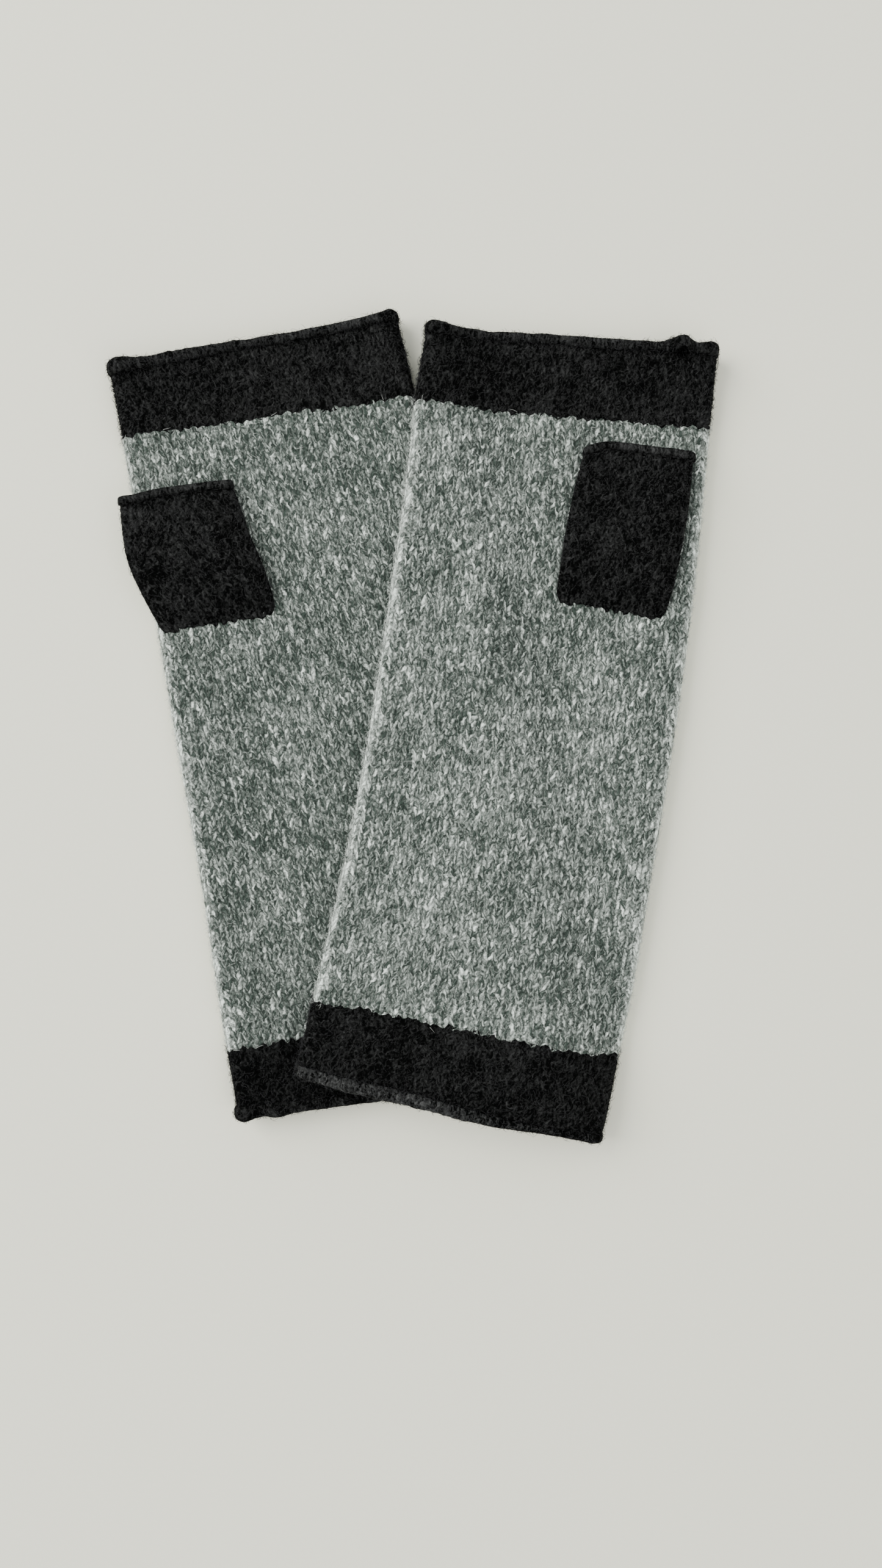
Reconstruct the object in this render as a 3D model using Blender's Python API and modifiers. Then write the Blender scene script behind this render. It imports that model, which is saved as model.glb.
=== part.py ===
"""A pair of knitted fingerless gloves, lying flat, the right one over the left.

+X is across the pair, +Y points to the finger ends, +Z is up. Metres.
Each glove is a flattened knitted tube: a marl hand tube between two charcoal cuffs whose free edges
roll outwards, and a charcoal thumb tube on its front that can swing up about its base.
"""
import math

import bpy
from mathutils import Matrix, Vector

MM = 0.001

# ---- driving dimensions -------------------------------------------------------------------------
GLOVE_LENGTH = 232 * MM          # finger edge to wrist edge, along the middle
FINGER_HALF_WIDTH = 43.8 * MM    # half of the flat width at the finger end
HAND_HALF_WIDTH = 44.2 * MM      # half of the flat width across the middle
WRIST_HALF_WIDTH = 45.6 * MM     # half of the flat width at the wrist end
FABRIC = 1.4 * MM                # thickness of the knitted fabric
INNER_GAP = 5.2 * MM             # space between front and back of a hand tube that lies flat
GAP = 0.3 * MM                   # clearance between pieces that touch

ROLL_RADIUS = 1.6 * MM           # rolled edge of a cuff
ROLL_OUTSET = 0.7 * MM           # how far the roll's middle stands outside the fabric's middle
END_RAISE_LENGTH = 16 * MM       # over this length the roll lifts the glove's end off the table

THUMB_BASE_HALF_WIDTH = 15.2 * MM
THUMB_TIP_HALF_WIDTH = 16.6 * MM
THUMB_BASE_DEPTH = 12 * MM       # the thumb tube's size along the glove, at its base
THUMB_GAP = 4.8 * MM             # inner space of the flattened thumb tube
THUMB_BEND = 2.1 * MM            # radius of the bend above the finger side of the thumb hole
THUMB_ROLL_RADIUS = 1.5 * MM
THUMB_ROLL_OUTSET = 0.6 * MM

SEAM_RADIUS = 0.6 * MM           # side seam yarn
THUMB_SEAM_RADIUS = 0.5 * MM     # thumb seam yarn

DRAPE_MARGIN = 4 * MM            # how far the upper glove stays level past the lower one's edge
DRAPE_LENGTH = 24 * MM           # over this length it comes down to the table

# ---- how finely the surfaces are cut --------------------------------------------------------------
FLAT_STEPS = 9                   # across the flat of a hand section
ROUND_STEPS = 4                  # round each folded side
THUMB_FLAT_STEPS = 5
HAND_ROWS = 13
CUFF_ROWS = 4

CHARCOAL = (0.012, 0.012, 0.013)
MARL = (0.19, 0.21, 0.19)
PALE_YARN = (0.45, 0.48, 0.44)

HALF_LENGTH = GLOVE_LENGTH / 2
END_RAISE = ROLL_OUTSET + ROLL_RADIUS - FABRIC / 2
HALF_HEIGHT = (INNER_GAP + FABRIC) / 2       # of a section of the fabric's middle surface
OUTER_HEIGHT = INNER_GAP + 2 * FABRIC
THUMB_BEND_Y = THUMB_BASE_DEPTH + THUMB_BEND # the middle of the bend, from the thumb's wrist side

# How each glove lies. A cuff's height includes its roll, and a tilt is the slope of the line where
# the marl changes to the cuff's charcoal. bow is how far the glove's middle bends to the right.
GLOVES = {
    "left": dict(
        centre=(-26.8 * MM, 2.0 * MM), turn=math.radians(10.3), bow=0.5 * MM, seam_side=1,
        finger_cuff=22.7 * MM, finger_tilt=-0.025, wrist_cuff=23.0 * MM, wrist_tilt=0.0,
        thumb_base=(-57.9 * MM, 31.1 * MM), thumb_turn=math.radians(13.0),
        thumb_length=42 * MM, over=None),
    "right": dict(
        centre=(28.6 * MM, 0.8 * MM), turn=math.radians(-9.0), bow=4.6 * MM, seam_side=-1,
        finger_cuff=22.0 * MM, finger_tilt=0.0, wrist_cuff=25.0 * MM, wrist_tilt=0.025,
        thumb_base=(58.7 * MM, 35.1 * MM), thumb_turn=math.radians(-10.0),
        thumb_length=46 * MM, over="left"),
}


# ---- shape of a glove ------------------------------------------------------------------------------
def smooth(t):
    """0 below 0, 1 above 1, a smooth step between."""
    t = min(max(t, 0.0), 1.0)
    return t * t * (3 - 2 * t)


def half_width(y):
    """Half of the glove's flat width at the distance y from its middle, fingers positive."""
    end = FINGER_HALF_WIDTH if y > 0 else WRIST_HALF_WIDTH
    return HAND_HALF_WIDTH + (end - HAND_HALF_WIDTH) * smooth(abs(y) / HALF_LENGTH)


def end_raise(y):
    """How far the rolled ends keep the fabric off the table."""
    return END_RAISE * smooth(1 - (HALF_LENGTH - 2 * ROLL_RADIUS - abs(y)) / END_RAISE_LENGTH)


def join(glove, end):
    """Where the marl changes to charcoal, and its tilt. end is 1 at the fingers, -1 at the wrist."""
    name = "finger" if end > 0 else "wrist"
    return HALF_LENGTH - glove[name + "_cuff"], glove[name + "_tilt"]


def course_tilt(glove, y):
    """The slope of the fabric's rows at y: none at the ends and the middle, most at the joins."""
    join_y, tilt = join(glove, y)
    if abs(y) < join_y:
        return tilt * abs(y) / join_y
    return tilt * max(HALF_LENGTH - abs(y), 0.0) / (HALF_LENGTH - join_y)


def to_table(glove, x, y):
    """A point of the glove's flat pattern as x and y on the table, round the glove's bow."""
    slope = -8 * glove["bow"] * y / GLOVE_LENGTH ** 2
    length = math.hypot(1, slope)
    tangent = Vector((slope / length, 1 / length))
    across = Vector((tangent.y, -tangent.x))
    spine = Vector((glove["bow"] * (1 - (2 * y / GLOVE_LENGTH) ** 2), y))
    flat = spine + across * x
    return Matrix.Rotation(glove["turn"], 2) @ flat + Vector(glove["centre"])


def drape(glove, spot):
    """How far a glove is lifted at a spot on the table by the glove that it lies over."""
    if glove["over"] is None:
        return 0.0
    lower = GLOVES[glove["over"]]
    x, y = Matrix.Rotation(-lower["turn"], 2) @ (spot - Vector(lower["centre"]))
    past_side = x - half_width(y) - FABRIC / 2 - DRAPE_MARGIN
    past_end = -y - HALF_LENGTH - ROLL_RADIUS - DRAPE_MARGIN
    away = math.hypot(max(past_side, 0.0), max(past_end, 0.0))
    near_end = smooth(1 - (y + HALF_LENGTH - DRAPE_MARGIN) / DRAPE_LENGTH)
    height = OUTER_HEIGHT + 2 * GAP + 2 * END_RAISE * near_end
    return height * (1 - smooth(away / DRAPE_LENGTH))


def place(glove, x, y, z):
    """A point of the flat glove, with z above its own underside, in the world."""
    spot = to_table(glove, x, y)
    return Vector((spot.x, spot.y, z + end_raise(y) + drape(glove, spot)))


def flat_section(half_w, half_h, flat_steps, round_steps):
    """A section with a flat top and bottom and round sides, as (x, z) points round its middle."""
    points = []
    reach = half_w - half_h
    for side in (1, -1):
        for step in range(flat_steps):
            points.append((side * reach * (2 * step / flat_steps - 1), -side * half_h))
        for step in range(round_steps):
            angle = math.pi * (step / round_steps - 0.5)
            points.append((side * (reach + half_h * math.cos(angle)), side * half_h * math.sin(angle)))
    return points


def hand_ring(glove, y, outset=0.0):
    """The closed ring of points of the fabric's middle surface at y, moved outwards by outset."""
    section = flat_section(half_width(y) + outset, HALF_HEIGHT + outset, FLAT_STEPS, ROUND_STEPS)
    middle = FABRIC / 2 + HALF_HEIGHT
    tilt = course_tilt(glove, y)
    return [place(glove, x, y + tilt * x, z + middle) for x, z in section]


def thumb_to_world(glove, x, y, z):
    """A point of the thumb's frame: y from the wrist side of its base, z above the hand's front."""
    base = Matrix.Rotation(glove["thumb_turn"], 2) @ Vector((x, y)) + Vector(glove["thumb_base"])
    return Vector((base.x, base.y, OUTER_HEIGHT + GAP + z))


def thumb_ring(glove, bend, y, outset=0.0):
    """A ring of the thumb tube: bend runs from 0 at its base to 1, then y along the straight part."""
    depth = THUMB_BASE_DEPTH + (THUMB_GAP + FABRIC - THUMB_BASE_DEPTH) * smooth(bend)
    along = y / glove["thumb_length"]
    half_w = THUMB_BASE_HALF_WIDTH + (THUMB_TIP_HALF_WIDTH - THUMB_BASE_HALF_WIDTH) * along
    angle = bend * math.pi / 2
    centre = THUMB_BEND + depth / 2
    ring = []
    for x, offset in flat_section(half_w + outset, depth / 2 + outset, THUMB_FLAT_STEPS, ROUND_STEPS):
        radius = centre + offset
        ring_y = THUMB_BEND_Y - radius * math.cos(angle) + max(y - THUMB_BEND_Y, 0.0)
        ring.append(thumb_to_world(glove, x, ring_y, radius * math.sin(angle)))
    return ring


# ---- modelling helpers -----------------------------------------------------------------------------
def clear_scene():
    for obj in list(bpy.data.objects):
        bpy.data.objects.remove(obj, do_unlink=True)


def new_collection(name):
    collection = bpy.data.collections.new(name)
    bpy.context.scene.collection.children.link(collection)
    return collection


def new_material(name, colour, roughness=0.95):
    material = bpy.data.materials.new(name)
    material.use_nodes = True
    shader = material.node_tree.nodes["Principled BSDF"]
    shader.inputs["Base Color"].default_value = (*colour, 1)
    shader.inputs["Roughness"].default_value = roughness
    shader.inputs["Metallic"].default_value = 0.0
    return material


def add_object(name, data, parent, colour):
    obj = bpy.data.objects.new(name, data)
    parts.objects.link(obj)
    obj.parent = parent
    obj.matrix_parent_inverse = parent.matrix_world.inverted()
    data.materials.append(new_material(name + "_yarn", colour))
    return obj


def add_empty(name, matrix):
    empty = bpy.data.objects.new(name, None)
    empty.matrix_world = matrix
    empty.empty_display_size = 10 * MM
    parts.objects.link(empty)
    bpy.context.view_layer.update()
    return empty


def fabric_tube(name, rings, parent, colour):
    """A knitted tube through the rings: an open surface with Solidify."""
    count = len(rings[0])
    points = [point for ring in rings for point in ring]
    faces = []
    for row in range(len(rings) - 1):
        for step in range(count):
            after = (step + 1) % count
            faces.append((row * count + step, row * count + after,
                          (row + 1) * count + after, (row + 1) * count + step))
    mesh = bpy.data.meshes.new(name)
    mesh.from_pydata(points, [], faces)
    mesh.shade_smooth()
    tube = add_object(name, mesh, parent, colour)
    solidify = tube.modifiers.new("fabric", "SOLIDIFY")
    solidify.thickness = FABRIC
    solidify.offset = 0
    return tube


def yarn(name, points, radius, closed, parent, colour):
    """A round cord through the points, a ring when closed."""
    curve = bpy.data.curves.new(name, "CURVE")
    curve.dimensions = "3D"
    curve.bevel_depth = radius
    curve.bevel_resolution = 2
    curve.use_fill_caps = True
    spline = curve.splines.new("POLY")
    spline.points.add(len(points) - 1)
    for target, point in zip(spline.points, points):
        target.co = (*point, 1)
    spline.use_cyclic_u = closed
    return add_object(name, curve, parent, colour)


def spread(start, end, count):
    """count numbers from start to end."""
    return [start + (end - start) * step / (count - 1) for step in range(count)]


# ---- pieces of a glove -----------------------------------------------------------------------------
def make_hand(side, glove, parent):
    """The marl hand tube, with the thumb hole through its front."""
    rows = spread(-join(glove, -1)[0] + GAP / 2, join(glove, 1)[0] - GAP / 2, HAND_ROWS)
    hand = fabric_tube(side + "_hand_tube", [hand_ring(glove, y) for y in rows], parent, MARL)
    inset = FABRIC / 2 + GAP + 2 * THUMB_SEAM_RADIUS + GAP
    size = (2 * (THUMB_BASE_HALF_WIDTH - inset), THUMB_BASE_DEPTH - 2 * inset, 2 * FABRIC + GAP)
    bpy.ops.mesh.primitive_cube_add(size=1)
    cutter = bpy.context.object
    cutter.name = side + "_thumb_hole_cutter"
    cutter.matrix_world = (
        Matrix.Translation(thumb_to_world(glove, 0, THUMB_BASE_DEPTH / 2, -FABRIC / 2 - GAP))
        @ Matrix.Rotation(glove["thumb_turn"], 4, "Z") @ Matrix.Diagonal((*size, 1)))
    cutter.hide_render = True
    cutter.display_type = "WIRE"
    for collection in list(cutter.users_collection):
        collection.objects.unlink(cutter)
    cutters.objects.link(cutter)
    hole = hand.modifiers.new("thumb hole", "BOOLEAN")
    hole.operation = "DIFFERENCE"
    hole.object = cutter


def make_cuff(side, glove, end, parent):
    """A charcoal cuff and its rolled edge. end is 1 at the fingers and -1 at the wrist."""
    place_name = "_finger" if end > 0 else "_wrist"
    inner = join(glove, end)[0] + GAP / 2
    outer = HALF_LENGTH - 2 * ROLL_RADIUS - GAP
    rows = [end * y for y in spread(inner, outer, CUFF_ROWS)]
    if end < 0:
        rows.reverse()
    fabric_tube(side + place_name + "_cuff", [hand_ring(glove, y) for y in rows], parent, CHARCOAL)
    ring = hand_ring(glove, end * (HALF_LENGTH - ROLL_RADIUS), ROLL_OUTSET)
    yarn(side + place_name + "_edge_roll", ring, ROLL_RADIUS, True, parent, CHARCOAL)


def make_side_seam(side, glove, parent):
    """The yarn that closes the hand tube, inside its inner edge."""
    points = []
    for y in spread(-join(glove, -1)[0] + 2 * GAP, join(glove, 1)[0] - 2 * GAP, HAND_ROWS):
        x = glove["seam_side"] * (half_width(y) - FABRIC / 2 - GAP - SEAM_RADIUS)
        points.append(place(glove, x, y + course_tilt(glove, y) * x, FABRIC / 2 + HALF_HEIGHT))
    yarn(side + "_side_seam", points, SEAM_RADIUS, False, parent, PALE_YARN)


def make_thumb_seam(side, glove, parent):
    """The yarn that joins the thumb tube to the thumb hole, inside the tube's base."""
    inset = FABRIC / 2 + GAP + THUMB_SEAM_RADIUS
    section = flat_section(THUMB_BASE_HALF_WIDTH - inset, THUMB_BASE_DEPTH / 2 - inset,
                           THUMB_FLAT_STEPS, ROUND_STEPS)
    points = [thumb_to_world(glove, x, THUMB_BASE_DEPTH / 2 + offset, THUMB_SEAM_RADIUS)
              for x, offset in section]
    yarn(side + "_thumb_seam", points, THUMB_SEAM_RADIUS, True, parent, CHARCOAL)


def make_thumb(side, glove, parent):
    """The thumb tube, which rises from the thumb hole and lies over towards the fingers."""
    tube_end = glove["thumb_length"] - 2 * THUMB_ROLL_RADIUS - GAP
    rings = [thumb_ring(glove, bend, bend * THUMB_BEND_Y) for bend in spread(0, 1, 5)]
    rings += [thumb_ring(glove, 1, y) for y in spread(THUMB_BEND_Y, tube_end, 5)[1:]]
    fabric_tube(side + "_thumb_tube", rings, parent, CHARCOAL)
    rim = thumb_ring(glove, 1, glove["thumb_length"] - THUMB_ROLL_RADIUS, THUMB_ROLL_OUTSET)
    yarn(side + "_thumb_rim_roll", rim, THUMB_ROLL_RADIUS, True, parent, CHARCOAL)


def make_glove(side, glove):
    hand_empty = add_empty(side + "_glove", Matrix.Translation(Vector((*glove["centre"], 0))))
    hinge = thumb_to_world(glove, 0, -FABRIC / 2 - GAP, 0)
    thumb_empty = add_empty(side + "_thumb", Matrix.Translation(hinge)
                            @ Matrix.Rotation(glove["thumb_turn"], 4, "Z"))
    thumb_empty.parent = hand_empty
    thumb_empty.matrix_parent_inverse = hand_empty.matrix_world.inverted()
    make_hand(side, glove, hand_empty)
    for end in (1, -1):
        make_cuff(side, glove, end, hand_empty)
    make_side_seam(side, glove, hand_empty)
    make_thumb_seam(side, glove, hand_empty)
    make_thumb(side, glove, thumb_empty)


clear_scene()
parts = new_collection("fingerless_gloves")
cutters = new_collection("cutters")
for glove_side, glove_values in GLOVES.items():
    make_glove(glove_side, glove_values)
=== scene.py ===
"""The looks of a pair of knitted fingerless gloves that lie flat, the right one over the left.

Every piece is a knitted tube. Its surface is a function of the stitch u round the tube and the row
v along it, and the mesh follows the V-shaped legs of the stocking stitch. The two gloves settle in a
cloth simulation before their pieces are made, and loose fibres stand out of the finished fabric.
"""
import math

import bpy
import numpy as np
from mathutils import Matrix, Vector


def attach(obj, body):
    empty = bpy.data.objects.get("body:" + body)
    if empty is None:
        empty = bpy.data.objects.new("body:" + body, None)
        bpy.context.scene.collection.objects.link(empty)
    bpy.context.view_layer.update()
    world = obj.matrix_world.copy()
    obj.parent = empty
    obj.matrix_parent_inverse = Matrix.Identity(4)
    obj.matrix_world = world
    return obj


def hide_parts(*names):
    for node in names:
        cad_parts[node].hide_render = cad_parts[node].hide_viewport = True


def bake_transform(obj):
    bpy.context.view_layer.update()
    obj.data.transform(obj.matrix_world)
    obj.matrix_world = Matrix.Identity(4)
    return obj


MM = 0.001
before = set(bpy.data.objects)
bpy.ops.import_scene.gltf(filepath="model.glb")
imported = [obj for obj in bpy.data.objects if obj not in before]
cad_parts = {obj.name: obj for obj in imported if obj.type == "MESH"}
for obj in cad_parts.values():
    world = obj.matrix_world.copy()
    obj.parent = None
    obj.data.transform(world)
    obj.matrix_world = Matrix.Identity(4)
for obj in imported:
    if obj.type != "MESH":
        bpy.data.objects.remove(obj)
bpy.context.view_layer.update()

# ---- sizes, in metres, as in the CAD ---------------------------------------------------------------
LENGTH = 232 * MM
HALF_LENGTH = LENGTH / 2
FINGER_HALF_WIDTH = 43.6 * MM
HAND_HALF_WIDTH = 44.0 * MM
WRIST_HALF_WIDTH = 45.4 * MM
FABRIC = 1.15 * MM                  # without the stitches' own relief
RELIEF = 0.29 * MM                  # how far the marl's stitches stand out
CUFF_RELIEF = 0.28 * MM
ROLL_RELIEF = 0.38 * MM
RIM_RELIEF = 0.34 * MM
HALF_HEIGHT = 2.25 * MM             # of the fabric's middle surface in a flat tube
UNDERSIDE = FABRIC / 2 + RELIEF + 0.05 * MM         # lowest place of the middle surface
TUBE_HEIGHT = 2 * HALF_HEIGHT + 2 * UNDERSIDE
STITCHES = 64                       # round a glove
ROWS = 123                          # from end to end
ROW = LENGTH / ROWS
SLANT = 2.2                         # rows that a leg of the V climbs in one stitch
PURL_ARC = 0.22                     # rows that a bump of the wrong side bends up and down

ROLL = 1.35 * MM                    # radius of the fabric's middle surface in a rolled end
ROLL_START = ROLL / ROW + 0.35      # rows from a glove's end to where its fabric begins to roll
CUFF_EDGE = ROLL / ROW + 0.9        # rows from a glove's end to where cuff and roll meet as pieces
ROLL_ROWS = 3.1                     # rows of a roll past the glove's end
ROLL_SHRINK = 0.17 * MM             # a radian
ROLL_FLAT = 0.62                    # how far a roll is pressed flat
SIDE_PULL = 0.30                    # how far a roll still stands out sideways at the folds
END_RAISE = 2.0 * MM                # how far the rolls lift the glove's ends
END_RAISE_LENGTH = 18 * MM
DRAPE_LENGTH = 24 * MM              # in which the upper glove comes down to the table
DRAPE_MARGIN = 3.5 * MM             # how far it stays level past the lower one's edge
DRAPE_GAP = 0.3 * MM
DRAPE_END_RAISE = 3.4 * MM          # it lies that much higher at the lower one's wrist end

THUMB_STITCHES = 24
THUMB_HALF_HEIGHT = 1.25 * MM
THUMB_ROLL = 1.15 * MM
THUMB_EAR = 0.3 * MM                # how far its roll swells at the folds
THUMB_RISE = 10 * MM                # in which its upper layer rises from the hand
THUMB_LIP = 0.5 * MM                # how deep its sewn end lies in the hand's fabric
THUMB_SLIT = 4.6 * MM               # from the upper layer's sewn end to the lower layer's
RIM_START, RIM_END = -0.6, 3.0      # rows of its rim, from where the roll begins
FOLD_START = (4.8 * MM, 5.2 * MM)   # how far past the sewn end and how high the thumb begins to fold,
FOLD_END = (8.9 * MM, 9.3 * MM)     # and where it is folded all the way

# ---- the cloth simulation --------------------------------------------------------------------------
SIM_GRID = (32, 44)                 # points round and along a tube
SIM_ROWS = (1.0, ROWS - 1.0)
SIM_FRAMES = 16
SIM_SCALE = 10                      # simulated ten times too big, as cloth's distances have a floor of 1 mm
SIM_GAP = 0.4 * MM
SIM_LAYER = FABRIC + 2 * RELIEF + 0.1 * MM
SIM_LEAST = (-1.0 * MM, -1.0 * MM, -1.3 * MM)       # caps on how far a point may move
SIM_MOST = (1.0 * MM, 1.0 * MM, 0.25 * MM)

# ---- samples of a mesh, each for a stitch in front, a stitch at the back, and a row ----------------
CUFF_OUTSIDE, CUFF_INSIDE = (6, 4, 3), (2, 2, 2)
HAND_INSIDE = (0.5, 0.5, 0.5)       # hardly seen through the open ends
ROLL_OUTSIDE, ROLL_INSIDE = (1, 1, 3), (6, 4, 4)
THUMB_OUTSIDE, RIM_INSIDE = (8, 4, 4), (8, 4, 4)
STEP = 0.04                         # stitches or rows, for a surface's slopes
TINY = 1e-12

# ---- loose fibres ----------------------------------------------------------------------------------
FIBRE_HEIGHT = 0.15 * MM            # above the fabric's flat face, where a fibre starts
FIBRE_RADIUS = 0.055 * MM
FIBRE_POINTS, FIBRE_SIDES = 4, 3
LOWEST_FIBRE = 0.08 * MM            # above the table
HAND_FUZZ = dict(number=4500, length=2.1 * MM, folds=0.85)
CUFF_FUZZ = dict(number=1500, length=2.0 * MM, folds=0.5)
ROLL_FUZZ = dict(number=1600, length=1.7 * MM, folds=0.1, side=-1)
THUMB_FUZZ = dict(number=1000, length=1.7 * MM, folds=0.5)

# How each glove lies, and where it differs from a plain tube. An end is 1, fingers, or -1, wrist.
#   centre, turn, bow   its place on the table, and how far its middle bends sideways
#   over                the glove that it lies on
#   finger_row, wrist_row, and their tilts: where the colour changes, and the rows' slope there
#   end_shift           how far each end moves towards the fingers, and its slope
#   narrow              how far the finger end's left and right sides move to the right
#   ears                a roll's swellings at each end: stitch, width in stitches, and size in radii
#   hole                the thumb hole: first and last stitch, first and last row
#   thumb_widths        its half widths at the base, the middle and the tip
#   thumb_lean          how far the tip is pushed to the right
#   thumb_rows          the slopes of its rows at the base and the tip
#   thumb_round         how far the tip's left and right corners are drawn in
GLOVES = {
    "left": dict(
        centre=(-26.8 * MM, 2.0 * MM), turn=math.radians(10.3), bow=0.5 * MM, seed=3, over=None,
        finger_row=109.67, finger_tilt=-0.048, wrist_row=13, wrist_tilt=0.0,
        end_shift={1: (-1.3 * MM, 0.0), -1: (2.2 * MM, -0.055)}, narrow=(0.0, -0.8 * MM),
        ears={1: ((1.6, 1.4, 0.50), (31.0, 1.0, 0.12)),
              -1: ((0.9, 1.2, 0.50), (4.6, 1.1, 0.45), (31.5, 2.0, 0.1))},
        hole=(2, 12, 80, 82),
        thumb_base=(-57.9 * MM, 31.1 * MM), thumb_turn=math.radians(13.0), thumb_length=42 * MM,
        thumb_widths=(16.9 * MM, 17.8 * MM, 15.6 * MM), thumb_lean=-3.3 * MM,
        thumb_rows=(-0.061, -0.061), thumb_round=(0.3 * MM, 0.5 * MM)),
    "right": dict(
        centre=(28.6 * MM, 0.8 * MM), turn=math.radians(-9.0), bow=4.6 * MM, seed=8, over="left",
        finger_row=110.33, finger_tilt=0.017, wrist_row=13.67, wrist_tilt=0.03,
        end_shift={1: (-0.3 * MM, 0.015), -1: (2.0 * MM, -0.010)}, narrow=(2.0 * MM, 0.0),
        ears={1: ((1.2, 1.3, 0.20), (27.6, 1.3, 0.95), (30.9, 1.2, 0.30)),
              -1: ((9.0, 8.0, 0.35), (30.5, 1.5, 0.1))},
        hole=(18, 28, 82, 84),
        thumb_base=(58.7 * MM, 35.1 * MM), thumb_turn=math.radians(-10.0), thumb_length=49 * MM,
        thumb_widths=(15.8 * MM, 16.6 * MM, 15.0 * MM), thumb_lean=0.2 * MM,
        thumb_rows=(0.0, 0.06), thumb_round=(2.4 * MM, 0.9 * MM)),
}


def add_object(name, data):
    obj = bpy.data.objects.new(name, data)
    bpy.context.scene.collection.objects.link(obj)
    return obj


def add_mesh(name, points, faces):
    mesh = bpy.data.meshes.new(name)
    mesh.from_pydata(points, [], faces)
    return add_object(name, mesh)


# ---- the surface of a glove ------------------------------------------------------------------------
def smooth(t):
    t = np.clip(t, 0.0, 1.0)
    return t * t * (3 - 2 * t)


def waves(seed, x, y, length, count=5):
    """Smooth noise from -1 to 1 with about that wavelength."""
    rng = np.random.default_rng(seed)
    total = 0.0
    for _ in range(count):
        angle, phase = rng.uniform(0, math.pi), rng.uniform(0, 2 * math.pi)
        k = 2 * math.pi / (length * rng.uniform(0.7, 1.5))
        total = total + np.sin(k * (x * math.cos(angle) + y * math.sin(angle)) + phase)
    return total / count * 1.6


def stitches_from(place, u, count):
    """How many stitches lie between u and a place, the shorter way round."""
    return abs((u - place + count / 2) % count - count / 2)


def half_width(y):
    end = np.where(y > 0, FINGER_HALF_WIDTH, WRIST_HALF_WIDTH)
    return HAND_HALF_WIDTH + (end - HAND_HALF_WIDTH) * smooth(abs(y) / HALF_LENGTH)


def row_y(row):
    return row * ROW - HALF_LENGTH


def course_tilt(glove, y):
    """The slope of the rows at y: none at the ends and the middle, most where the colour changes."""
    result = np.zeros_like(y)
    for sign, name in ((1, "finger"), (-1, "wrist")):
        join = abs(row_y(glove[name + "_row"]))
        tilt = glove[name + "_tilt"]
        way = np.sign(tilt or 1)
        before, past = tilt * abs(y) / join, tilt * (HALF_LENGTH - abs(y)) / (HALF_LENGTH - join)
        value = np.where(abs(y) < join, before, np.maximum(past * way, 0) * way)
        result = np.where(np.sign(y) == sign, value, result)
    return result


def section(u, count, w, h):
    """x and z of a flat tube's middle surface, u stitches round from its left fold."""
    flat, arc = 2 * (w - h), math.pi * h
    s = (u / count % 1.0) * 2 * (flat + arc)
    s1 = arc / 2
    s2, s3, s4 = s1 + flat, s1 + flat + arc, s1 + 2 * flat + arc
    reach = w - h
    spans = [s < s1, s < s2, s < s3, s < s4]
    x = np.select(spans, [-reach - h * np.cos(s / h), s - s1 - reach,
                          reach + h * np.sin((s - s2) / h), reach - (s - s3)],
                  -reach - h * np.sin((s - s4) / h))
    z = np.select(spans, [h * np.sin(s / h), h + 0 * s, h * np.cos((s - s2) / h), -h + 0 * s],
                  -h * np.cos((s - s4) / h))
    return x, z


def to_table(glove, x, y):
    """A point of the flat glove as x and y on the table, round the glove's bow."""
    bow, turn = glove["bow"], glove["turn"]
    slope = -8 * bow * y / LENGTH ** 2
    length = np.hypot(1, slope)
    px = bow * (1 - (2 * y / LENGTH) ** 2) + x / length
    py = y - slope / length * x
    return (px * math.cos(turn) - py * math.sin(turn) + glove["centre"][0],
            px * math.sin(turn) + py * math.cos(turn) + glove["centre"][1])


def from_table(glove, px, py):
    """The point of the flat glove at a spot on the table."""
    dx, dy = px - glove["centre"][0], py - glove["centre"][1]
    turn, bow = glove["turn"], glove["bow"]
    x = dx * math.cos(turn) + dy * math.sin(turn)
    y = -dx * math.sin(turn) + dy * math.cos(turn)
    flat_x, flat_y = x, y
    for _ in range(4):
        slope = -8 * bow * flat_y / LENGTH ** 2
        flat_x = (x - bow * (1 - (2 * flat_y / LENGTH) ** 2)) * np.hypot(1, slope)
        flat_y = y + slope * flat_x / np.hypot(1, slope)
    return flat_x, flat_y


def drape(glove, px, py):
    """How far the glove that it lies over lifts this one."""
    if glove["over"] is None:
        return 0.0
    x, y = from_table(GLOVES[glove["over"]], px, py)
    past_side = x - half_width(y) - FABRIC / 2 - DRAPE_MARGIN
    past_end = -y - HALF_LENGTH - DRAPE_MARGIN
    away = np.hypot(np.maximum(past_side, 0), np.maximum(past_end, 0))
    near_end = smooth(1 - (y + HALF_LENGTH - DRAPE_MARGIN) / DRAPE_LENGTH)
    height = TUBE_HEIGHT + DRAPE_GAP + DRAPE_END_RAISE * near_end
    return height * (1 - smooth(away / DRAPE_LENGTH))


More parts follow.
